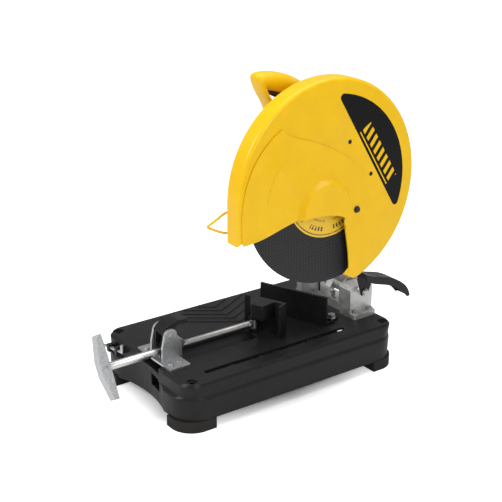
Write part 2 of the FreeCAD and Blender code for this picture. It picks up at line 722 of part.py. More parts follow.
def bearing(x0, x1, centre, outer, inner):
    """A sealed ball bearing as its two rings and the seal between them."""
    body = ring_x(x0, x1, centre[0], centre[1], outer, inner)
    middle = (outer + inner) / 2
    for end in (x0, x1):
        body = body.cut(ring_x(end - 0.6, end + 0.6, centre[0], centre[1], middle + 2.2, middle - 2.2))
    return body


def motor_housing():
    y, z = MOTOR
    body = fuse(
        rod_x(-78, CASE_LEFT, y, z, MOTOR_RADIUS),
        rod_x(14, CASE_LEFT, y, z, MOTOR_RADIUS + 2),
    )
    body = body.cut(rod_x(-79, 19, y, z, MOTOR_RADIUS - 3.5))
    body = body.cut(rod_x(10, 30, y, z, 16))
    for angle in range(0, 360, 30):
        slot = rounded_block(0, 9, -2, 2, 36, 60, 1.5)
        slot.translate(Vector(4, y, z))
        body = body.cut(turned_x(slot, y, z, angle))
    gland = rod_z(z - 60, z - 30, -50, y, 9)
    body = body.fuse(gland.cut(rod_x(-79, 19, y, z, MOTOR_RADIUS - 3.5)))
    for side in (-1, 1):
        body = body.cut(rod_y(y - 60 if side < 0 else y + 30, y - 30 if side < 0 else y + 60, -66, z, 6.3))
    return body.cut(rod_z(z - 70, z - 30, -50, y, 6))


def motor_end_cap():
    y, z = MOTOR
    body = rod_x(MOTOR_END, -78, y, z, MOTOR_RADIUS)
    edge = [e for e in body.Edges if abs(e.CenterOfMass.x - MOTOR_END) < 0.1]
    body = body.makeFillet(8, edge)
    body = body.cut(rod_x(MOTOR_END + 4, -77, y, z, MOTOR_RADIUS - 4))
    body = body.fuse(ring_x(MOTOR_END + 3, -80, y, z, 16, 11))
    for step in range(-4, 5):
        half = math.sqrt(30 ** 2 - (step * 6.5) ** 2)
        left = y + step * 6.5 - 1.5
        rise = half / 3
        body = body.cut(block(MOTOR_END - 1, MOTOR_END + 5, left, left + 3, z + 17, z + 17 + rise))
        body = body.cut(block(MOTOR_END - 1, MOTOR_END + 5, left, left + 3, z - 17 - rise, z - 17))
    return body


def field_coils():
    """Laminated stator ring with its two pole windings."""
    y, z = MOTOR
    ring = ring_x(-50, 0, y, z, MOTOR_RADIUS - 3.8, 33)
    poles = []
    for side in (-1, 1):
        pole = ring_x(-54, 4, y, z, 34, 26.5)
        gate = block(-60, 10, y - 24, y + 24, z + 4 if side > 0 else z - 50, z + 50 if side > 0 else z - 4)
        poles.append(pole.common(gate))
    return fuse(ring, *poles)


def motor_shaft():
    y, z = MOTOR
    shaft = rod_x(MOTOR_END + 6, 48, y, z, MOTOR_SHAFT_RADIUS)
    return fuse(shaft, toothed_wheel(48, 64, MOTOR, PINION_TEETH, 6.0, 9.2, 1.3, 0.6, PINION_PHASE))


def toothed_wheel(x0, x1, centre, teeth, root, tip, root_half, tip_half, phase):
    """A gear blank with straight-flanked teeth; half widths are at the root and the tip."""
    outline = []
    for k in range(teeth):
        middle = phase + 360.0 * k / teeth
        for radius, half in ((root, -root_half), (tip, -tip_half), (tip, tip_half), (root, root_half)):
            outline.append(around(centre, radius, middle + math.degrees(half / radius)))
    return plate_yz(outline, x0, x1)


def spindle_gear():
    body = toothed_wheel(50, 62, SPINDLE, GEAR_TEETH, 32.2, 35.4, 1.3, 0.6, GEAR_PHASE)
    body = body.fuse(rod_x(62, 68, SPINDLE[0], SPINDLE[1], 15))
    body = body.cut(rod_x(40, 80, SPINDLE[0], SPINDLE[1], SPINDLE_SHAFT_RADIUS))
    for k in range(6):
        hole = around(SPINDLE, 23, 60 * k)
        body = body.cut(rod_x(40, 80, hole[0], hole[1], 4.5))
    return body


def armature_core():
    y, z = MOTOR
    body = rod_x(-50, 0, y, z, 25)
    for k in range(12):
        slot = around(MOTOR, 25, 30 * k)
        body = body.cut(rod_x(-51, 1, slot[0], slot[1], 2))
    body = fuse(body, rod_x(-58, -50, y, z, 20), rod_x(0, 6, y, z, 20))
    return body.cut(rod_x(-60, 10, y, z, MOTOR_SHAFT_RADIUS))


def commutator():
    y, z = MOTOR
    body = ring_x(-74, -60, y, z, 14, MOTOR_SHAFT_RADIUS)
    for k in range(24):
        groove = block(-75, -59, -0.35, 0.35, 13.2, 15)
        groove.translate(Vector(0, y, z))
        body = body.cut(turned_x(groove, y, z, 15 * k))
    return body


def cooling_fan():
    y, z = MOTOR
    blades = [rod_x(8, 10, y, z, 38), rod_x(10, 17, y, z, 11)]
    for k in range(12):
        blade = block(10, 17, -0.9, 0.9, 14, 37)
        blade.translate(Vector(0, y, z))
        blade.rotate(Vector(0, y, z + 25), Vector(1, 0, 0), 25)
        blades.append(turned_x(blade, y, z, 30 * k))
    return fuse(*blades, rod_x(9, 10, y, z, 12)).cut(rod_x(0, 20, y, z, MOTOR_SHAFT_RADIUS))


def brush_holders():
    """Carbon brush, brass tube and screw cap on each side of the commutator."""
    y, z = MOTOR
    holders = []
    for side in (-1, 1):
        inner = y + side * 14.4
        outer = y + side * (MOTOR_RADIUS + 1)
        carbon = block(-69, -63, min(inner, inner + side * 12), max(inner, inner + side * 12), z - 4, z + 4)
        tube = rod_y(min(inner + side * 8, outer), max(inner + side * 8, outer), -66, z, 6)
        cap_end = outer + side * 3
        cap = rod_y(min(outer, cap_end), max(outer, cap_end), -66, z, 8)
        cap = cap.cut(block(-76, -56, cap_end - 1, cap_end + 1, z - 1, z + 1))
        holders.append(fuse(carbon, tube, cap))
    return group(*holders)


def spindle():
    y, z = SPINDLE
    body = fuse(
        rod_x(27, 88, y, z, SPINDLE_SHAFT_RADIUS),
        rod_x(88.4, 95.8, y, z, 20),
        rod_x(88, 112, y, z, WHEEL_BORE_RADIUS - 0.05),
    )
    return body.cut(rod_x(94, 113, y, z, 5))


def inner_flange():
    y, z = SPINDLE
    body = ring_x(95.8, 105.5, y, z, FLANGE_RADIUS, WHEEL_BORE_RADIUS)
    return body.cut(ring_x(104, 106, y, z, FLANGE_RADIUS - 9, WHEEL_BORE_RADIUS - 1))


def outer_flange():
    y, z = SPINDLE
    body = fuse(rod_x(108.5, 112, y, z, FLANGE_RADIUS), rod_x(112, 116, y, z, 26))
    body = body.cut(rod_x(107, 112.4, y, z, WHEEL_BORE_RADIUS))
    body = body.cut(ring_x(108, 110, y, z, FLANGE_RADIUS - 9, WHEEL_BORE_RADIUS - 1))
    return body.cut(rod_x(100, 120, y, z, 5.2))


def abrasive_wheel():
    y, z = SPINDLE
    return ring_x(105.8, 108.2, y, z, WHEEL_RADIUS, WHEEL_BORE_RADIUS)


def wheel_labels():
    y, z = SPINDLE
    return group(
        ring_x(105.5, 105.8, y, z, LABEL_RADIUS, WHEEL_BORE_RADIUS),
        ring_x(108.2, 108.5, y, z, LABEL_RADIUS, WHEEL_BORE_RADIUS),
    )


def wheel_bolt():
    y, z = SPINDLE
    return fuse(rod_x(95, 119, y, z, 5), hexagon_x(119, 125.4, y, z, 17))


def spindle_lock():
    """Spring-loaded button that stops the spindle: pin, collar and thumb pad."""
    z = SPINDLE[1]
    return fuse(
        rod_y(24, 74, LOCK_BUTTON_X, z, 3.5),
        rod_y(14, 24, LOCK_BUTTON_X, z, 9),
    )


# ---------------------------------------------------------------- guard


def cutaway(x0, x1, drop=0.0):
    """Everything below the guard's lower edge, as a solid to cut with."""
    front = curve_yz([(y, z - drop) for y, z in FRONT_EDGE], x0)
    rear = curve_yz(REAR_EDGE, x0)
    tail = [Vector(x0, y, z) for y, z in TAIL_EDGE]
    tail += [Vector(x0, 175, 100), Vector(x0, -135, 100), Vector(x0, -135, 300 - drop)]
    tail += [Vector(x0, -118, 305.5 - drop)]
    straight = [rear.Vertexes[-1].Point] + tail + [front.Vertexes[0].Point]
    edges = [front, Part.makeLine(front.Vertexes[-1].Point, rear.Vertexes[0].Point), rear]
    edges += [Part.makeLine(p, q) for p, q in zip(straight, straight[1:])]
    return Part.Face(Part.Wire(edges)).extrude(Vector(x1 - x0, 0, 0))


def guard_form(radius, front, bottom, x0, x1, rounding):
    """The wheel cover as a solid: a disc carried forward and down to a vertical front edge."""
    y, z = GUARD_CENTRE
    disc = rod_x(x0, x1, y, z, radius)
    front_half = block(x0, x1, front, y, bottom, z)
    form = fuse(disc, front_half)
    rims = [
        e for e in form.Edges
        if (abs(e.CenterOfMass.x - x0) < 0.01 or abs(e.CenterOfMass.x - x1) < 0.01)
        and e.CenterOfMass.z > bottom + 1
    ]
    rims = [e for e in rims if not (e.CenterOfMass.z < z and abs(e.CenterOfMass.y - y) < 0.01)]
    return form.makeFillet(rounding, rims)


def guard_shell():
    outer = guard_form(GUARD_RADIUS, GUARD_CENTRE[0] - GUARD_RADIUS, 250, GUARD_LEFT, GUARD_RIGHT, 8)
    inner = guard_form(
        GUARD_RADIUS - GUARD_WALL, GUARD_CENTRE[0] - GUARD_RADIUS + GUARD_WALL, 240,
        GUARD_LEFT + GUARD_WALL, GUARD_RIGHT - GUARD_WALL, 6,
    )
    return outer.cut(inner).cut(cutaway(GUARD_LEFT - 5, GUARD_RIGHT + 5))


def guard_left():
    shell = guard_shell().common(block(GUARD_LEFT - 1, GUARD_SEAM, -200, 300, 150, 600))
    seam_lip = ring_x(
        GUARD_SEAM - 3, GUARD_SEAM, GUARD_CENTRE[0], GUARD_CENTRE[1], GUARD_RADIUS - 2, GUARD_RADIUS - 4,
    )
    lip_sector = block(80, 130, -90, 300, 420, 600)
    shell = shell.fuse(seam_lip.common(lip_sector))
    for y, z in JOIN_SCREWS:
        shell = shell.fuse(rod_x(GUARD_LEFT + 1, GUARD_SEAM, y, z, 5))
        shell = shell.cut(rod_x(GUARD_LEFT - 1, GUARD_SEAM + 1, y, z, 2))
        shell = shell.cut(rod_x(GUARD_LEFT - 1, GUARD_LEFT + 3, y, z, 4.2))
    shell = shell.cut(rod_x(80, 90, SPINDLE[0], SPINDLE[1], 22))
    return shell.removeSplitter()


def guard_right():
    shell = guard_shell().common(block(GUARD_SEAM, GUARD_RIGHT + 1, -200, 300, 150, 600))
    shell = shell.cut(plate_yz(COVER_OPENING, GUARD_RIGHT - 5, GUARD_RIGHT + 5))
    boss = rod_x(GUARD_SEAM + 12, GUARD_RIGHT - 1, COVER_PIVOT[0], COVER_PIVOT[1], 7)
    shell = shell.fuse(boss)
    shell = shell.cut(rod_x(110, 140, COVER_PIVOT[0], COVER_PIVOT[1], 3))
    for y, z in JOIN_SCREWS:
        shell = shell.fuse(rod_x(GUARD_SEAM, GUARD_RIGHT - 1, y, z, 6))
    for y, z in FACE_SCREWS:
        shell = shell.fuse(rod_x(GUARD_SEAM + 10, GUARD_RIGHT - 1, y, z, 6))
        shell = shell.cut(rod_x(GUARD_SEAM + 9, GUARD_RIGHT + 5, y, z, 2))
        shell = shell.cut(rod_x(GUARD_RIGHT - 3, GUARD_RIGHT + 5, y, z, 4.2))
    for y, z in JOIN_SCREWS:
        shell = shell.cut(rod_x(GUARD_SEAM - 1, GUARD_SEAM + 12, y, z, 2))
    return shell.removeSplitter()


def guard_screws():
    screws = []
    for y, z in FACE_SCREWS:
        head = rod_x(GUARD_RIGHT - 3, GUARD_RIGHT - 0.6, y, z, 4.2)
        body = fuse(rod_x(GUARD_SEAM + 11, GUARD_RIGHT - 3, y, z, 2), head)
        screws.append(body.cut(hexagon_x(GUARD_RIGHT - 2.2, GUARD_RIGHT, y, z, 4)))
    for y, z in JOIN_SCREWS:
        head = rod_x(GUARD_LEFT, GUARD_LEFT + 3, y, z, 4.2)
        body = fuse(head, rod_x(GUARD_LEFT + 3, GUARD_SEAM + 11, y, z, 2))
        screws.append(body.cut(hexagon_x(GUARD_LEFT - 1, GUARD_LEFT + 2, y, z, 4)))
    return group(*screws)


def side_cover():
    """Swinging cover over the flanges, with a hollow bulge round the wheel bolt."""
    upper = [
        (-31, 496), (-15, 484), (28, 468), (72, 449), (117, 422), (146, 392), (158, 366), (161, 340),
        (156, 318),
    ]
    front = [(-110, 310), (-110.5, 372), (-98, 422), (-68, 468), (-31, 496)]
    below = ((156, 318), (147, 305.5), (127, 305.5), (100, 285), (-110, 285), (-110, 310))
    under = [Vector(COVER_FACE, y, z) for y, z in below]
    edges = [curve_yz(front, COVER_FACE), curve_yz(upper, COVER_FACE)]
    edges += [Part.makeLine(p, q) for p, q in zip(under, under[1:])]
    plate = Part.Face(Part.Wire(edges)).extrude(Vector(1.8, 0, 0))
    bulge = [
        (2, 340), (8, 360), (24, 380), (44, 392), (66, 396), (90, 390), (108, 375), (118, 352), (116, 322),
        (56, 300), (6, 312),
    ]
    crown = [
        (12, 342), (17, 359), (29, 373), (46, 384), (66, 388), (86, 382), (100, 370), (109, 351), (108, 324),
        (56, 306), (14, 318),
    ]
    hump = Part.makeLoft([smooth_outline(bulge, COVER_FACE), smooth_outline(crown, 138)], True, True)
    hollow = Part.makeLoft(
        [smooth_outline(inset(bulge, 2.5), COVER_FACE - 1), smooth_outline(inset(crown, 2.5), 135.8)],
        True, True,
    )
    crease = plate_yz(
        [(-33, 433), (-47, 417), (-55, 398), (-61, 373), (-59, 373), (-53, 398), (-45, 416), (-31, 431)],
        COVER_FACE + 1, COVER_FACE + 2.6,
    )
    cover = fuse(plate, hump, crease).cut(hollow)
    below = cutaway(COVER_FACE - 5, 145, 3.5)
    keep = block(COVER_FACE - 5, 145, 108, 175, 302, 345)
    cover = cover.cut(below.cut(keep))
    return cover.cut(rod_x(120, 140, COVER_PIVOT[0], COVER_PIVOT[1], 3 + RUNNING)).removeSplitter()


def cover_bolt():
    y, z = COVER_PIVOT
    top = COVER_FACE + 1.8 + 0.2
    return fuse(
        rod_x(GUARD_SEAM + 13, top, y, z, 3),
        rod_x(top, top + 1.2, y, z, 6.4),
        hexagon_x(top + 1.2, top + 4.4, y, z, 9),
    )


def guard_decal():
    """Crescent label on the rear of the guard face: a disc cut off by a slanted line, corners rounded."""
    x0, x1 = GUARD_RIGHT, GUARD_RIGHT + 0.3
    disc = rod_x(x0, x1, GUARD_CENTRE[0], GUARD_CENTRE[1], 166.5)
    behind = plate_yz([(84, 545), (238, 296), (320, 296), (320, 600), (84, 600)], x0, x1)
    label = disc.common(behind)
    corners = [e for e in label.Edges if abs(abs(e.tangentAt(e.FirstParameter).x) - 1) < 0.001]
    return label.makeFillet(7, corners)


def wire_loop():
    """Bent wire rest on the guard's left face."""
    path = [
        (GUARD_LEFT - 0.5, -96, 357), (76, -104, 355), (66, -131, 337), (63, -137, 331),
        (66, -130, 326), (76, -108, 318), (GUARD_LEFT - 0.5, -96, 320),
    ]
    curve = Part.BSplineCurve()
    curve.interpolate([Vector(*p) for p in path])
    spine = Part.Wire([curve.toShape()])
    start = curve.tangent(curve.FirstParameter)[0]
    ring = Part.Wire([Part.makeCircle(2.2, Vector(*path[0]), start)])
    loop = spine.makePipeShell([ring], True, True)
    return loop.cut(block(GUARD_LEFT, GUARD_LEFT + 10, -120, -80, 300, 380))


# ---------------------------------------------------------------- handle


def handle_half(side):
    """One moulding of the D grip: hollow, with a finger opening and half the trigger slot."""
    x0, x1 = (HANDLE_LEFT, HANDLE_SPLIT) if side < 0 else (HANDLE_SPLIT, HANDLE_RIGHT)
    face = HANDLE_LEFT if side < 0 else HANDLE_RIGHT
    hollow_x = (x0 + 3, x1 + 5) if side < 0 else (x0 - 5, x1 - 3)
    outer = smooth_plate(HANDLE_OUTLINE, x0, x1)
    rim = [e for e in outer.Edges if abs(e.CenterOfMass.x - face) < 0.01]
    body = outer.makeFillet(5, rim)
    body = body.cut(smooth_plate(HANDLE_OPENING, x0 - 5, x1 + 5))
    hollow = smooth_plate(inset(HANDLE_OUTLINE, 5), *hollow_x)
    hollow = hollow.cut(smooth_plate(inset(HANDLE_OPENING, -4), hollow_x[0] - 1, hollow_x[1] + 1))
    return body.cut(hollow).cut(block(35, 49, 2, 54, 520, 545))


def trigger():
    y, z = TRIGGER_PIVOT
    blade = plate_yz([(6, 545), (6, 534), (30, 522), (46, 524), (55, 532), (55, 541), (30, 543)], 36, 48)
    return blade.cut(rod_x(30, 50, y, z, 2 + RUNNING))


def switch_body():
    case = block(34, 50, 12, 42, 553, 558.5)
    cheek = plate_yz([(14, 552), (46, 538), (54, 537), (54, 545), (14, 560)], 30, 34.5)
    return fuse(case, cheek, rod_x(30, 54, TRIGGER_PIVOT[0], TRIGGER_PIVOT[1], 2))


def cord_gland():
    y, z = MOTOR
    return fuse(ring_z(z - 60, z - 47, -50, y, 6, 4), ring_z(z - 68, z - 60, -50, y, 9, 4))


os.makedirs("parts", exist_ok=True)
wrench, wrench_clips = stowed_wrench()
save("base_pan", base_pan().fuse(wrench_clips).removeSplitter())
save("hex_wrench", wrench)
save("rubber_feet", rubber_feet())
save("foot_screws", foot_screws())
save("vise_bracket", vise_bracket())
save("bracket_bolts", bracket_bolts())
save("lever_pin", lever_pin())
save("half_nut", half_nut())
save("vise_lever", vise_lever())
save("vise_screw", vise_screw())
save("crank", crank())
save("crank_pin", crank_pin())
save("swivel_block", swivel_block())
save("vise_jaw", vise_jaw())
save("fence", fence())
save("fence_pivot_bolt", fence_bolt(0))
save("fence_lock_bolt", fence_bolt(FENCE_SLOT_RADIUS))
save("pivot_bracket", pivot_bracket())
save("pivot_bolts", pivot_bolts())
save("pivot_pin", pivot_pin())
save("return_spring", return_spring())
save("stop_bolt", stop_bolt())
save("stop_nut", stop_nut())
save("lock_pin", lock_pin())
save("spark_deflector", spark_deflector())
save("deflector_screw", deflector_screw())
save("arm", arm())
save("gear_cover", gear_cover())
save("gear_cover_screws", gear_cover_screws())
save("spindle_bearings", group(bearing(26, 36, SPINDLE, 15, SPINDLE_SHAFT_RADIUS),
                               bearing(74, 84, SPINDLE, 15, SPINDLE_SHAFT_RADIUS)))
save("motor_bearings", group(bearing(26, 34, MOTOR, 13, MOTOR_SHAFT_RADIUS),
                             bearing(-89, -82, MOTOR, 11, MOTOR_SHAFT_RADIUS)))
save("motor_housing", motor_housing())
save("motor_end_cap", motor_end_cap())
save("field_coils", field_coils())
save("motor_shaft", motor_shaft())
save("armature_core", armature_core())
save("commutator", commutator())
save("cooling_fan", cooling_fan())
save("brush_holders", brush_holders())
save("spindle", spindle())
save("spindle_gear", spindle_gear())
save("inner_flange", inner_flange())
save("abrasive_wheel", abrasive_wheel())
save("wheel_labels", wheel_labels())
save("outer_flange", outer_flange())
save("flange_washer", ring_x(116, 119, SPINDLE[0], SPINDLE[1], 14, 5.2))
save("wheel_bolt", wheel_bolt())
save("spindle_lock", spindle_lock())
save("guard_left", guard_left())
save("guard_right", guard_right())
save("side_cover", side_cover())
save("cover_bolt", cover_bolt())
save("guard_screws", guard_screws())
save("guard_decal", guard_decal())
save("wire_loop", wire_loop())
save("handle_left", handle_half(-1))
save("handle_right", handle_half(1))
save("trigger", trigger())
save("switch_body", switch_body())
save("cord_gland", cord_gland())
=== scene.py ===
import math

import bmesh
import bpy
import numpy as np
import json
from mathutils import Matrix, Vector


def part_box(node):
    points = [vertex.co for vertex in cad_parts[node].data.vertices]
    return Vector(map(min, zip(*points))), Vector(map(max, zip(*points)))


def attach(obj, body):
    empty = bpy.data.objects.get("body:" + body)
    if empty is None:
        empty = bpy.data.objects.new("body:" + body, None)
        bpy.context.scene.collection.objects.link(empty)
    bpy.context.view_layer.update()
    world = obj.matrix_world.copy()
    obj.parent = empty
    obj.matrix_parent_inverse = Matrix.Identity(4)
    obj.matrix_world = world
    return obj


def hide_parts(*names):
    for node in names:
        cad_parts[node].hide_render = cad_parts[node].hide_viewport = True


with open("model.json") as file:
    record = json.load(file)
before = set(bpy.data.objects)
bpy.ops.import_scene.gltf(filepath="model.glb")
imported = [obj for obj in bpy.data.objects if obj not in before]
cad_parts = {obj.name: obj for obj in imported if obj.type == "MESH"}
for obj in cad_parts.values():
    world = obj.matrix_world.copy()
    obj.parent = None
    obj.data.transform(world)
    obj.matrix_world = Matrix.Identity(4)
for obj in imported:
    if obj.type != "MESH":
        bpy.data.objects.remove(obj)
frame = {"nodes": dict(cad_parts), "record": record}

"""Abrasive chop saw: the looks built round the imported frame.  Metres, in the frame's own axes."""

MM = 0.001
SLOT_OF = {s["node"]: s["material_slot"] for s in frame["record"]["subparts"]}
BODY_OF = {
    node: body
    for body, members in frame["record"]["behaviour"]["bodies"].items()
    for node in members
}
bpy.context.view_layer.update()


# ---------------------------------------------------------------- shader helpers


class Nodes:
    """Short calls for building one node tree."""

    def __init__(self, tree):
        self.tree = tree

    def add(self, kind, settings=None, **inputs):
        node = self.tree.nodes.new(kind)
        for name, value in (settings or {}).items():
            setattr(node, name, value)
        for name, value in inputs.items():
            self.feed(node, name.replace("_", " "), value)
        return node

    def feed(self, node, name, value):
        socket = node.inputs[name] if isinstance(name, int) else self.find(node, name)
        if isinstance(value, bpy.types.NodeSocket):
            self.tree.links.new(value, socket)
        else:
            socket.default_value = value

    @staticmethod
    def find(node, name):
        for socket in node.inputs:
            if socket.name.lower() == name.lower() and socket.enabled:
                return socket
        raise KeyError(f"{node.bl_idname} has no input {name}")

    def math(self, operation, first, second=0.0, third=None):
        node = self.tree.nodes.new("ShaderNodeMath")
        node.operation = operation
        self.feed(node, 0, first)
        self.feed(node, 1, second)
        if third is not None:
            self.feed(node, 2, third)
        return node.outputs[0]

    def ramp(self, value, low, high, out_low=0.0, out_high=1.0):
        node = self.tree.nodes.new("ShaderNodeMapRange")
        node.clamp = True
        for index, entry in enumerate((value, low, high, out_low, out_high)):
            self.feed(node, index, entry)
        return node.outputs[0]

    def mix(self, factor, first, second):
        node = self.tree.nodes.new("ShaderNodeMix")
        node.data_type = "RGBA"
        self.feed(node, 0, factor)
        self.feed(node, 6, first)
        self.feed(node, 7, second)
        return node.outputs[2]

    def place(self):
        return self.tree.nodes.new("ShaderNodeTexCoord").outputs["Object"]

    def split(self, vector):
        node = self.tree.nodes.new("ShaderNodeSeparateXYZ")
        self.feed(node, 0, vector)
        return node.outputs

    def noise(self, vector, scale, detail=3.0, roughness=0.55):
        node = self.add("ShaderNodeTexNoise", Scale=scale, Detail=detail, Roughness=roughness)
        self.feed(node, "Vector", vector)
        return node.outputs["Fac"]


def new_group(name, inputs, outputs):
    """A shader node group; inputs and outputs are (name, socket kind, default)."""
    group = bpy.data.node_groups.new(name, "ShaderNodeTree")
    for label, kind, default in inputs:
        socket = group.interface.new_socket(label, in_out="INPUT", socket_type=kind)
        socket.default_value = default
    for label, kind in outputs:
        group.interface.new_socket(label, in_out="OUTPUT", socket_type=kind)
    start = group.nodes.new("NodeGroupInput")
    end = group.nodes.new("NodeGroupOutput")
    return group, Nodes(group), start.outputs, end.inputs


def surface_grain_group():
    """Fine pits and slow waves as one height, and the same noise as a mask for colour and roughness."""
    group, n, given, result = new_group(
        "surface_grain",
        [("Grain Size", "NodeSocketFloat", 1500.0), ("Wave Size", "NodeSocketFloat", 60.0),
         ("Wave Share", "NodeSocketFloat", 0.4)],
        [("Height", "NodeSocketFloat"), ("Mottle", "NodeSocketFloat")],
    )
    place = n.place()
    grain = n.noise(place, given["Grain Size"], 2.0)
    wave = n.noise(place, given["Wave Size"], 4.0, 0.6)
    height = n.math("MULTIPLY_ADD", wave, given["Wave Share"], grain)
    n.tree.links.new(height, result["Height"])
    n.tree.links.new(wave, result["Mottle"])
    return group


def edge_wear_and_highlight_group():
    """A mask that is 1 on sharp outer edges, broken up by noise, and 0 on flats."""
    group, n, given, result = new_group(
        "edge_wear_and_highlight",
        [("Width", "NodeSocketFloat", 0.0008), ("Break Up", "NodeSocketFloat", 220.0)],
        [("Mask", "NodeSocketFloat")],
    )
    bevel = n.tree.nodes.new("ShaderNodeBevel")
    bevel.samples = 4
    n.feed(bevel, "Radius", given["Width"])
    flat = n.tree.nodes.new("ShaderNodeNewGeometry").outputs["Normal"]
    dot = n.tree.nodes.new("ShaderNodeVectorMath")
    dot.operation = "DOT_PRODUCT"
    n.feed(dot, 0, bevel.outputs[0])
    n.feed(dot, 1, flat)
    bend = n.ramp(dot.outputs["Value"], 0.985, 0.86)
    patchy = n.ramp(n.noise(n.place(), given["Break Up"], 4.0, 0.7), 0.42, 0.62)
    n.tree.links.new(n.math("MULTIPLY", bend, patchy), result["Mask"])
    return group


def cloth_weave_group():
    """Glass-fibre mesh pressed into the wheel: two crossed sets of threads, as a height."""
    group, n, given, result = new_group(
        "cloth_weave",
        [("Thread Pitch", "NodeSocketFloat", 0.0034)],
        [("Height", "NodeSocketFloat")],
    )
    _, y, z = n.split(n.place())
    threads = []
    for first, second in ((y, z), (z, y)):
        along = n.math("DIVIDE", first, given["Thread Pitch"])
        across = n.math("DIVIDE", second, given["Thread Pitch"])
        strand = n.math("ABSOLUTE", n.math("SINE", n.math("MULTIPLY", along, math.pi)))
        lift = n.math("SINE", n.math("MULTIPLY", across, math.pi))
        threads.append(n.math("MULTIPLY_ADD", lift, 0.25, n.ramp(strand, 0.55, 1.0)))
    n.tree.links.new(n.math("MAXIMUM", threads[0], threads[1]), result["Height"])
    return group


GRAIN = surface_grain_group()
EDGE_WEAR_AND_HIGHLIGHT = edge_wear_and_highlight_group()
WEAVE = cloth_weave_group()


def material(name):
    made = bpy.data.materials.new(name)
    made.use_nodes = True
    nodes = Nodes(made.node_tree)
    shader = made.node_tree.nodes["Principled BSDF"]
    return made, nodes, shader


def use_group(nodes, group, **inputs):
    node = nodes.tree.nodes.new("ShaderNodeGroup")
    node.node_tree = group
    for name, value in inputs.items():
        nodes.feed(node, name.replace("_", " "), value)
    return node.outputs


def relief(nodes, shader, height, strength, distance, easing=0.0005):
    """Bump on top of edges that the Bevel node rounds off."""
    bevel = nodes.tree.nodes.new("ShaderNodeBevel")
    bevel.samples = 4
    bevel.inputs["Radius"].default_value = easing
    bump = nodes.add("ShaderNodeBump", Strength=strength, Distance=distance)
    nodes.feed(bump, "Height", height)
    nodes.feed(bump, "Normal", bevel.outputs[0])
    nodes.feed(shader, "Normal", bump.outputs[0])


def coloured(name, base, edge_wear_and_highlight_colour, roughness, metallic=0.0, worn_metallic=None, coat=0.0, gloss=0.5,
             grain=1500.0, wave=60.0, bump=0.15, depth=0.0002, edge_wear_and_highlight_amount=0.8, edge_wear_and_highlight_width=0.0007, mottle=0.12):
    """Paint, plastic or metal: mottled colour, a second colour on worn edges that on base_black is also a
    painted edge highlight, grain in the surface.
    """
    made, n, shader = material(name)
    surface = use_group(n, GRAIN, Grain_Size=grain, Wave_Size=wave, Wave_Share=0.4)
    edge_wear_and_highlight_mask = n.math("MULTIPLY", use_group(n, EDGE_WEAR_AND_HIGHLIGHT, Width=edge_wear_and_highlight_width, Break_Up=180.0)["Mask"], edge_wear_and_highlight_amount)
    dark = tuple(c * (1 - mottle) for c in base) + (1.0,)
    light = tuple(min(1.0, c * (1 + mottle)) for c in base) + (1.0,)
    body = n.mix(n.ramp(surface["Mottle"], 0.35, 0.65), dark, light)
    n.feed(shader, "Base Color", n.mix(edge_wear_and_highlight_mask, body, edge_wear_and_highlight_colour + (1.0,)))
    low, high = roughness
    n.feed(shader, "Roughness", n.ramp(surface["Mottle"], 0.3, 0.7, low, high))
    if worn_metallic is None or worn_metallic == metallic:
        shader.inputs["Metallic"].default_value = metallic
    else:
        n.feed(shader, "Metallic", n.ramp(edge_wear_and_highlight_mask, 0.0, 1.0, metallic, worn_metallic))
    shader.inputs["Specular IOR Level"].default_value = gloss
    if coat:
        shader.inputs["Coat Weight"].default_value = coat
        shader.inputs["Coat Roughness"].default_value = 0.12
    relief(n, shader, surface["Height"], bump, depth)
    return made


def turned_steel():
    """Machined steel: fine noise in the roughness and slow stains in the colour."""
    made, n, shader = material("bright_steel")
    place = n.place()
    lines = n.noise(place, 900.0, 2.0)
    surface = use_group(n, GRAIN, Grain_Size=2600.0, Wave_Size=90.0, Wave_Share=0.8)
    stain = n.ramp(n.noise(place, 45.0, 5.0, 0.65), 0.45, 0.72)
    n.feed(shader, "Base Color", n.mix(stain, (0.60, 0.60, 0.60, 1.0), (0.36, 0.35, 0.34, 1.0)))
    n.feed(shader, "Roughness", n.ramp(lines, 0.3, 0.7, 0.22, 0.40))
    shader.inputs["Metallic"].default_value = 1.0
    relief(n, shader, surface["Height"], 0.12, 0.0001, 0.0003)
    return made


def dark_root_thread():
    """Bright steel, near black in the thread roots that the mesh's thread_depth attribute marks, more so in
    some patches.
    """
    made, n, shader = material("dark_root_thread")
    depth = n.add("ShaderNodeAttribute", {"attribute_name": "thread_depth"}).outputs["Fac"]
    place = n.place()
    patch = n.ramp(n.noise(place, 60.0, 4.0, 0.6), 0.3, 0.7, 0.55, 1.0)
    root_darkening = n.math("MULTIPLY", depth, patch)
    n.feed(shader, "Base Color", n.mix(root_darkening, (0.62, 0.61, 0.60, 1.0), (0.05, 0.045, 0.04, 1.0)))
    n.feed(shader, "Roughness", n.ramp(n.noise(place, 1400.0, 2.0), 0.3, 0.7, 0.2, 0.38))
    shader.inputs["Metallic"].default_value = 1.0
    surface = use_group(n, GRAIN, Grain_Size=2600.0, Wave_Size=90.0, Wave_Share=0.8)
    relief(n, shader, surface["Height"], 0.1, 0.0001, 0.0002)
    return made


def wheel_abrasive():
    made, n, shader = material("abrasive")
    weave = use_group(n, WEAVE, Thread_Pitch=0.0034)["Height"]
    grit = n.noise(n.place(), 2200.0, 3.0, 0.7)
    height = n.math("MULTIPLY_ADD", grit, 0.6, weave)
    tone = n.ramp(height, 0.2, 1.5)
    n.feed(shader, "Base Color", n.mix(tone, (0.003, 0.003, 0.0035, 1.0), (0.045, 0.045, 0.047, 1.0)))
    shader.inputs["Specular IOR Level"].default_value = 0.25
    n.feed(shader, "Roughness", n.ramp(grit, 0.3, 0.7, 0.45, 0.8))
    relief(n, shader, height, 0.6, 0.0004, 0.0003)
    return made


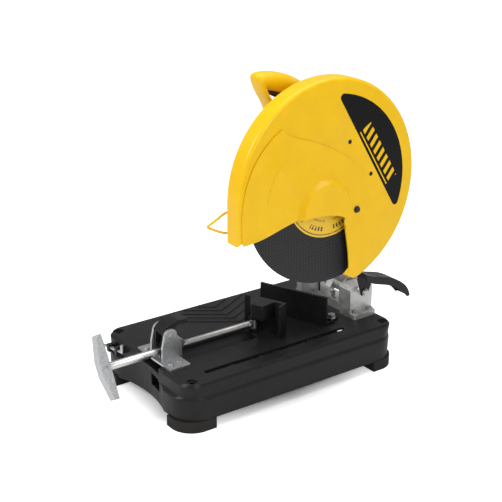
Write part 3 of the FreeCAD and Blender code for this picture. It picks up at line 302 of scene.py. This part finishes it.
def printed_label(name, centre, paper, ink):
    """Round paper label: rings and rows of plain bars, placed by distance and angle from the centre."""
    made, n, shader = material(name)
    _, y, z = n.split(n.place())
    dy = n.math("SUBTRACT", y, centre[1])
    dz = n.math("SUBTRACT", z, centre[2])
    reach = n.math("SQRT", n.math("ADD", n.math("MULTIPLY", dy, dy), n.math("MULTIPLY", dz, dz)))
    turn = n.math("ARCTAN2", dz, dy)
    ring = n.math("COMPARE", reach, 0.0885, 0.0009)
    band = n.math("COMPARE", reach, 0.0775, 0.0040)
    bars = n.math("GREATER_THAN", n.math("SINE", n.math("MULTIPLY", turn, 70.0)), -0.1)
    words = n.math("GREATER_THAN", n.math("SINE", n.math("MULTIPLY", turn, 9.0)), -0.35)
    print_mask = n.math("MAXIMUM", ring, n.math("MULTIPLY", band, n.math("MULTIPLY", bars, words)))
    inner = n.math("COMPARE", reach, 0.0630, 0.0018)
    fine = n.math("GREATER_THAN", n.math("SINE", n.math("MULTIPLY", turn, 150.0)), 0.1)
    print_mask = n.math("MAXIMUM", print_mask, n.math("MULTIPLY", inner, n.math("MULTIPLY", fine, words)))
    scuff = n.ramp(n.noise(n.place(), 120.0, 5.0, 0.7), 0.5, 0.75)
    unworn_print = n.math("MULTIPLY", print_mask, n.math("SUBTRACT", 1.0, scuff))
    n.feed(shader, "Base Color", n.mix(unworn_print, paper, ink))
    n.feed(shader, "Roughness", n.ramp(scuff, 0.0, 1.0, 0.45, 0.7))
    relief(n, shader, n.noise(n.place(), 1600.0), 0.1, 0.0001, 0.0001)
    return made


def crescent_label(name, low, high):
    """Black film with a slanted block of plain bars across its widest part and a thin border."""
    made, n, shader = material(name)
    _, y, z = n.split(n.place())
    cy = (low[1] + high[1]) / 2 + 0.018
    cz = (low[2] + high[2]) / 2 - 0.006
    lean = math.radians(-58)
    u = n.math("ADD", n.math("MULTIPLY", n.math("SUBTRACT", y, cy), math.cos(lean)),
               n.math("MULTIPLY", n.math("SUBTRACT", z, cz), math.sin(lean)))
    v = n.math("SUBTRACT", n.math("MULTIPLY", n.math("SUBTRACT", z, cz), math.cos(lean)),
               n.math("MULTIPLY", n.math("SUBTRACT", y, cy), math.sin(lean)))
    slant = n.math("MULTIPLY_ADD", v, 0.35, u)
    bars = n.math("GREATER_THAN", n.math("SINE", n.math("MULTIPLY", slant, 2 * math.pi / 0.016)), -0.05)
    block = n.math("MULTIPLY", n.math("COMPARE", v, 0.0, 0.0105), n.math("COMPARE", u, 0.0, 0.062))
    line = n.math("MULTIPLY", n.math("COMPARE", v, -0.0165, 0.0012), n.math("COMPARE", u, 0.0, 0.062))
    mask = n.math("MAXIMUM", n.math("MULTIPLY", bars, block), line)
    n.feed(shader, "Base Color", n.mix(mask, (0.004, 0.004, 0.0045, 1.0), YELLOW + (1.0,)))
    shader.inputs["Specular IOR Level"].default_value = 0.15
    n.feed(shader, "Roughness", n.ramp(n.noise(n.place(), 200.0, 4.0), 0.3, 0.7, 0.22, 0.38))
    return made


YELLOW = (0.86, 0.51, 0.001)
WHEEL_LOW, WHEEL_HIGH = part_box("abrasive_wheel")
WHEEL_CENTRE = tuple((a + b) / 2 for a, b in zip(WHEEL_LOW, WHEEL_HIGH))
DECAL_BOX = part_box("guard_decal")

MATERIALS = {
    "guard_yellow": coloured("guard_yellow", YELLOW, (0.95, 0.66, 0.10), (0.30, 0.40), coat=0.08, gloss=0.28,
                             grain=900.0, wave=25.0, bump=0.05, depth=0.0003, edge_wear_and_highlight_amount=0.35, mottle=0.03),
    "body_yellow": coloured("body_yellow", YELLOW, (0.45, 0.44, 0.42), (0.30, 0.42), worn_metallic=0.8,
                            grain=1300.0, wave=40.0, bump=0.12, edge_wear_and_highlight_amount=0.6, mottle=0.04),
    "black_paint": coloured("black_paint", (0.006, 0.006, 0.0065), (0.20, 0.20, 0.20), (0.30, 0.45),
                            worn_metallic=0.9, gloss=0.3, grain=1500.0, bump=0.15, edge_wear_and_highlight_amount=0.7),
    # base_black: its lighter edge colour is painted highlight on the base's edges as well as paint worn
    # through to metal
    "base_black": coloured("base_black", (0.010, 0.010, 0.011), (0.10, 0.10, 0.10), (0.34, 0.50),
                           worn_metallic=0.6, gloss=0.22, grain=1100.0, wave=35.0, bump=0.25,
                           depth=0.0003, edge_wear_and_highlight_amount=0.55, edge_wear_and_highlight_width=0.0012),
    "cast_aluminium": coloured("cast_aluminium", (0.62, 0.62, 0.61), (0.80, 0.80, 0.79), (0.38, 0.55),
                               metallic=0.85, grain=900.0, wave=120.0, bump=0.45, depth=0.0004, edge_wear_and_highlight_amount=0.6),
    "zinc_steel": coloured("zinc_steel", (0.50, 0.51, 0.52), (0.72, 0.72, 0.72), (0.28, 0.46), metallic=1.0,
                           grain=1700.0, wave=260.0, bump=0.1, edge_wear_and_highlight_amount=0.5),
    "bright_steel": turned_steel(),
    "dark_root_thread": dark_root_thread(),
    "dark_steel": coloured("dark_steel", (0.05, 0.05, 0.055), (0.3, 0.3, 0.3), (0.3, 0.45), metallic=0.9,
                           bump=0.1, edge_wear_and_highlight_amount=0.6),
    "black_plastic": coloured("black_plastic", (0.008, 0.008, 0.009), (0.06, 0.06, 0.06), (0.42, 0.58),
                              grain=2200.0, bump=0.3, edge_wear_and_highlight_amount=0.4),
    "foot_rubber": coloured("foot_rubber", (0.016, 0.014, 0.013), (0.06, 0.055, 0.05), (0.65, 0.85),
                            gloss=0.3, grain=1400.0, wave=50.0, bump=0.35, edge_wear_and_highlight_amount=0.4, edge_wear_and_highlight_width=0.001),
    "abrasive": wheel_abrasive(),
    "label_yellow": printed_label("label_yellow", WHEEL_CENTRE, (0.88, 0.56, 0.03, 1.0),
                                  (0.03, 0.03, 0.03, 1.0)),
    "label_black": crescent_label("label_black", *DECAL_BOX),
    "copper": coloured("copper", (0.60, 0.24, 0.10), (0.8, 0.45, 0.25), (0.28, 0.42), metallic=1.0,
                       grain=2500.0, wave=300.0, bump=0.3),
    "lamination_steel": coloured("lamination_steel", (0.30, 0.30, 0.31), (0.5, 0.5, 0.5), (0.35, 0.5),
                                 metallic=1.0, grain=3000.0, bump=0.2),
}


def finish_of(node):
    """The record's finish, except that the guard's screws and cover bolt are blackened."""
    blackened = node in ("guard_screws", "cover_bolt")
    return MATERIALS["dark_steel" if blackened else SLOT_OF[node]]


def dress_frame_nodes():
    for node, thing in frame["nodes"].items():
        thing.data.materials.clear()
        thing.data.materials.append(finish_of(node))


# ---------------------------------------------------------------- geometry helpers


def mesh_object(name, points, faces, slot, body, smooth_angle=40.0):
    mesh = bpy.data.meshes.new(name)
    mesh.from_pydata(np.asarray(points).tolist(), [], [list(map(int, f)) for f in faces])
    mesh.validate()
    mesh.materials.append(MATERIALS[slot])
    mesh.shade_smooth()
    mesh.set_sharp_from_angle(angle=math.radians(smooth_angle))
    thing = bpy.data.objects.new(name, mesh)
    bpy.context.scene.collection.objects.link(thing)
    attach(thing, body)
    return thing


def grid_faces(rows, columns, wrap_columns=True):
    """Quads between neighbouring rows of a rows x columns sheet, closed round the columns if asked."""
    i = np.arange(rows - 1)[:, None]
    j = np.arange(columns if wrap_columns else columns - 1)[None, :]
    k = (j + 1) % columns
    quads = np.stack([i * columns + j, i * columns + k, (i + 1) * columns + k, (i + 1) * columns + j], -1)
    return quads.reshape(-1, 4)


def softened(node, width, segments=3, angle=32.0):
    """A copy of a frame node with its corners rounded; it stands for the node."""
    mesh = frame["nodes"][node].data.copy()
    mesh.name = node + "_finished"
    work = bmesh.new()
    work.from_mesh(mesh)
    bmesh.ops.remove_doubles(work, verts=work.verts, dist=1e-6)
    bmesh.ops.dissolve_limit(work, angle_limit=math.radians(0.8), verts=work.verts, edges=work.edges)
    work.to_mesh(mesh)
    work.free()
    mesh.materials.clear()
    mesh.materials.append(finish_of(node))
    mesh.shade_smooth()
    mesh.set_sharp_from_angle(angle=math.radians(angle))
    thing = bpy.data.objects.new(node + "_finished", mesh)
    bpy.context.scene.collection.objects.link(thing)
    bevel = thing.modifiers.new("rounded_edges", "BEVEL")
    bevel.width = width
    bevel.segments = segments
    bevel.limit_method = "ANGLE"
    bevel.angle_limit = math.radians(angle)
    bevel.harden_normals = True
    bevel.miter_outer = "MITER_ARC"
    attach(thing, BODY_OF[node])
    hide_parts(node)
    return thing


# ---------------------------------------------------------------- camera, light, floor


def camera():
    """Long lens from the front right, a little above the work."""
    data = bpy.data.cameras.new("camera")
    data.sensor_width = 36.0
    data.lens = 80.38
    data.clip_start = 0.05
    data.clip_end = 50.0
    thing = bpy.data.objects.new("camera", data)
    thing.location = (1.54526, -1.11174, 0.96120)
    thing.rotation_euler = (math.radians(90 - 20.7947), 0.0, math.radians(54.3272))
    bpy.context.scene.collection.objects.link(thing)
    bpy.context.scene.camera = thing


def area_light(name, place, aim, size, power, colour=(1, 1, 1)):
    data = bpy.data.lights.new(name, "AREA")
    data.shape = "RECTANGLE"
    data.size, data.size_y = size
    data.energy = power
    data.color = colour
    thing = bpy.data.objects.new(name, data)
    thing.location = place
    direction = np.array(aim) - np.array(place)
    yaw = math.atan2(direction[1], direction[0]) - math.pi / 2
    pitch = math.atan2(direction[2], math.hypot(direction[0], direction[1]))
    thing.rotation_euler = (math.pi / 2 + pitch, 0.0, yaw)
    bpy.context.scene.collection.objects.link(thing)


def studio():
    world = bpy.data.worlds.new("pale_room")
    world.use_nodes = True
    seen = world.node_tree.nodes.new("ShaderNodeLightPath").outputs["Is Camera Ray"]
    strength = Nodes(world.node_tree).ramp(seen, 0.0, 1.0, 0.42, 1.0)
    background = world.node_tree.nodes["Background"]
    background.inputs[0].default_value = (1.0, 1.0, 1.0, 1.0)
    world.node_tree.links.new(strength, background.inputs[1])
    bpy.context.scene.world = world
    bpy.context.scene.view_settings.view_transform = "Standard"
    aim = (0.0, 0.0, 0.25)
    area_light("key", (-0.6, -2.2, 2.0), aim, (1.0, 0.8), 38)
    area_light("side", (2.6, -0.3, 1.5), aim, (1.0, 1.4), 22)
    area_light("top", (0.2, 0.5, 2.6), aim, (2.0, 2.0), 40)
    mesh = bpy.data.meshes.new("floor")
    half = 8.0
    corners = [(-half, -half, 0), (half, -half, 0), (half, half, 0), (-half, half, 0)]
    mesh.from_pydata(corners, [], [(0, 1, 2, 3)])
    made, nodes, shader = material("pale_floor")
    shader.inputs["Base Color"].default_value = (0.88, 0.88, 0.88, 1.0)
    shader.inputs["Roughness"].default_value = 0.6
    glow = nodes.add("ShaderNodeLightPath").outputs["Is Camera Ray"]
    # the glow stops under the base, inside an ellipse a little larger than its outline: a painted contact
    # shadow under and round the base
    scaled = nodes.add("ShaderNodeVectorMath", {"operation": "MULTIPLY"})
    nodes.feed(scaled, 0, nodes.place())
    nodes.feed(scaled, 1, (6.4, 4.0, 0.0))
    reach = nodes.add("ShaderNodeVectorMath", {"operation": "LENGTH"})
    nodes.feed(reach, 0, scaled.outputs[0])
    clear = nodes.ramp(reach.outputs["Value"], 0.75, 1.15, 0.0, 0.6)
    shader.inputs["Emission Color"].default_value = (1.0, 1.0, 1.0, 1.0)
    nodes.feed(shader, "Emission Strength", nodes.math("MULTIPLY", glow, clear))
    mesh.materials.append(made)
    floor = bpy.data.objects.new("floor", mesh)
    bpy.context.scene.collection.objects.link(floor)


# ---------------------------------------------------------------- pieces


def threaded_screw():
    """Vise screw: radius follows the helix phase (turn + height / pitch) as a rounded sawtooth, blending to a
    plain shank at the front and to a collar and journal at the rear."""
    low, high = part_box("vise_screw")
    x = (low[0] + high[0]) / 2
    z = (low[2] + high[2]) / 2
    outer = (high[0] - low[0]) / 2
    root = outer - 1.2 * MM
    pitch = 4.0 * MM
    thread_front = low[1] + 118 * MM
    thread_rear = high[1] - 14.5 * MM
    around = 40
    shank = np.array([low[1], low[1] + 0.8 * MM, thread_front - 3 * MM])
    run = np.arange(thread_front - 2 * MM, thread_rear, pitch / 10)
    tail_steps = np.array([0.0, 0.4, 2.4, 2.5]) * MM
    tail = np.append(thread_rear + tail_steps, high[1])
    y = np.concatenate([shank, run, tail])
    turn = np.linspace(0, 2 * np.pi, around, endpoint=False)
    phase = (turn[None, :] / (2 * np.pi) + y[:, None] / pitch) % 1.0
    ridge = np.clip(np.abs(phase - 0.5) * 3.4 - 0.35, 0, 1)
    fade = np.clip((y - thread_front) / (4 * MM), 0, 1) * np.clip((thread_rear - y) / (4 * MM), 0, 1)
    radius = outer - (outer - root) * ridge * fade[:, None]
    radius[0] = outer - 0.8 * MM
    radius[-2:] = 4.5 * MM
    along = np.repeat(y[:, None], around, 1)
    ring = np.stack([x + radius * np.cos(turn), along, z + radius * np.sin(turn)], -1)
    points = np.concatenate([ring.reshape(-1, 3), [[x, y[0], z], [x, y[-1], z]]])
    faces = [f[::-1] for f in grid_faces(len(y), around)]
    last = (len(y) - 1) * around
    front, rear = len(points) - 2, len(points) - 1
    faces += [(front, j, (j + 1) % around) for j in range(around)]
    faces += [(rear, last + (j + 1) % around, last + j) for j in range(around)]
    thing = mesh_object("threaded_screw", points, faces, "bright_steel", BODY_OF["vise_screw"], 50)
    depth = thing.data.attributes.new("thread_depth", "FLOAT", "POINT")
    marks = np.concatenate([(ridge * fade[:, None]).ravel(), [0.0, 0.0]])
    depth.data.foreach_set("value", marks.astype(np.float32))
    thing.data.materials[0] = MATERIALS["dark_root_thread"]
    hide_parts("vise_screw")


GRIP_STATIONS = [
    # outer (y, z) and finger-side (y, z) in millimetres, round the D from its front tip over the top
    ((-27, 572), (-7, 546)), ((0, 575), (6, 541)), ((36, 567), (28, 534)), ((62, 555), (52, 525)),
    ((92, 536), (74, 514)), ((119, 511), (87, 500)), ((129, 480), (90, 486)), ((116, 455), (80, 477)),
    ((84, 450), (64, 474)), ((50, 451), (44, 476)), ((24, 468), (30, 486)), ((8, 492), (18, 503)),
    ((-6, 521), (5, 526)), ((-20, 545), (-3, 539)),
]


def smooth_loop(points, count):
    """Closed Catmull-Rom curve through the points, sampled evenly in its own parameter."""
    points = np.asarray(points, float)
    place = np.arange(count) * len(points) / count
    k = place.astype(int)
    t = (place - k)[:, None]
    p0, p1, p2, p3 = (points[(k + shift) % len(points)] for shift in (-1, 0, 1, 2))
    return 0.5 * (2 * p1 + (p2 - p0) * t + (2 * p0 - 5 * p1 + 4 * p2 - p3) * t ** 2
                  + (3 * p1 - p0 - 3 * p2 + p3) * t ** 3)


def grip():
    """D handle: at each station round the loop the section is a superellipse whose in-plane radius
    reaches from the finger side to the outer side, with a shallow groove where the two mouldings meet."""
    low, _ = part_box("handle_left")
    _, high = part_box("handle_right")
    middle = (low[0] + high[0]) / 2
    half_width = (high[0] - low[0]) / 2
    stations = smooth_loop([a + b for a, b in GRIP_STATIONS], 128) * MM
    outer, inner = stations[:, :2], stations[:, 2:]
    centre = (outer + inner) / 2
    reach = (outer - inner) / 2
    section = np.linspace(0, 2 * np.pi, 56, endpoint=False)
    power = 2.0 / 2.2
    across = np.sign(np.cos(section)) * np.abs(np.cos(section)) ** power
    along = np.sign(np.sin(section)) * np.abs(np.sin(section)) ** power
    seam = 1 - 0.045 * np.exp(-(along / 0.045) ** 2)
    plane = centre[:, None, :] + reach[:, None, :] * (across * seam)[None, :, None]
    x = np.broadcast_to(middle + half_width * along, plane.shape[:2])
    points = np.concatenate([x[..., None], plane], -1).reshape(-1, 3)
    rows, columns = plane.shape[:2]
    faces = grid_faces(rows + 1, columns) % (rows * columns)
    thing = mesh_object("grip", points, faces, "guard_yellow", BODY_OF["handle_left"], 60)
    outward(thing)
    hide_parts("handle_left", "handle_right")


def outward(thing):
    """Turn the faces of a closed piece outwards."""
    work = bmesh.new()
    work.from_mesh(thing.data)
    bmesh.ops.recalc_face_normals(work, faces=work.faces)
    work.to_mesh(thing.data)
    work.free()


def coil_spring():
    """Torsion spring: a wire round the pivot pin, a helix along X that ends in a straight leg."""
    low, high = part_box("return_spring")
    pin_low, pin_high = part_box("pivot_pin")
    cy, cz = (pin_low[1] + pin_high[1]) / 2, (pin_low[2] + pin_high[2]) / 2
    wire, radius, turns = 1.5 * MM, 12.5 * MM, 4.5
    turn = np.linspace(0, 2 * np.pi * turns, 320)
    x = np.linspace(low[0] + wire, high[0] - wire, 320)
    line = np.stack([x, cy - radius * np.cos(turn), cz + radius * np.sin(turn)], -1)
    leg = np.array([[x[0], cy - radius, z] for z in np.linspace(low[2] + wire, cz - 3 * MM, 12)])
    thing = tube("coil_spring", np.concatenate([leg, line]), wire, "dark_steel", BODY_OF["return_spring"])
    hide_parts("return_spring")


def tube(name, line, radius, slot, body, around=14):
    """Round wire along a line of points; each ring stands square to the line, and both ends are closed."""
    run = np.gradient(line, axis=0)
    run /= np.linalg.norm(run, axis=1)[:, None]
    side = np.cross(run, [1.0, 0.0, 0.0] if abs(run[:, 0]).max() < 0.9 else [0.0, 0.31, 0.95])
    side /= np.linalg.norm(side, axis=1)[:, None]
    up = np.cross(run, side)
    turn = np.linspace(0, 2 * np.pi, around, endpoint=False)
    outwards = side[:, None] * np.cos(turn)[:, None] + up[:, None] * np.sin(turn)[:, None]
    rings = line[:, None] + radius * outwards
    points = np.concatenate([rings.reshape(-1, 3), line[[0, -1]]])
    last = (len(line) - 1) * around
    start, end = len(points) - 2, len(points) - 1
    faces = list(grid_faces(len(line), around))
    faces += [(start, (j + 1) % around, j) for j in range(around)]
    faces += [(end, last + j, last + (j + 1) % around) for j in range(around)]
    thing = mesh_object(name, points, faces, slot, body, 60)
    outward(thing)
    return thing


ROUNDED = {
    "base_pan": 1.0, "vise_bracket": 0.7, "vise_lever": 0.6, "half_nut": 0.8, "crank": 0.6, "vise_jaw": 0.8,
    "fence": 0.7, "pivot_bracket": 1.2, "spark_deflector": 0.6, "arm": 1.5, "gear_cover": 1.0,
    "swivel_block": 0.5, "rubber_feet": 1.5, "outer_flange": 0.5, "wheel_bolt": 0.4, "pivot_bolts": 0.4,
    "fence_pivot_bolt": 0.4, "fence_lock_bolt": 0.4, "bracket_bolts": 0.5, "lever_pin": 0.5,
    "cover_bolt": 0.4,
    "trigger": 1.2, "lock_pin": 1.2, "guard_left": 0.7, "guard_right": 0.7, "side_cover": 0.8,
}

dress_frame_nodes()
threaded_screw()
grip()
coil_spring()
for node, width in ROUNDED.items():
    softened(node, width * MM)
camera()
studio()
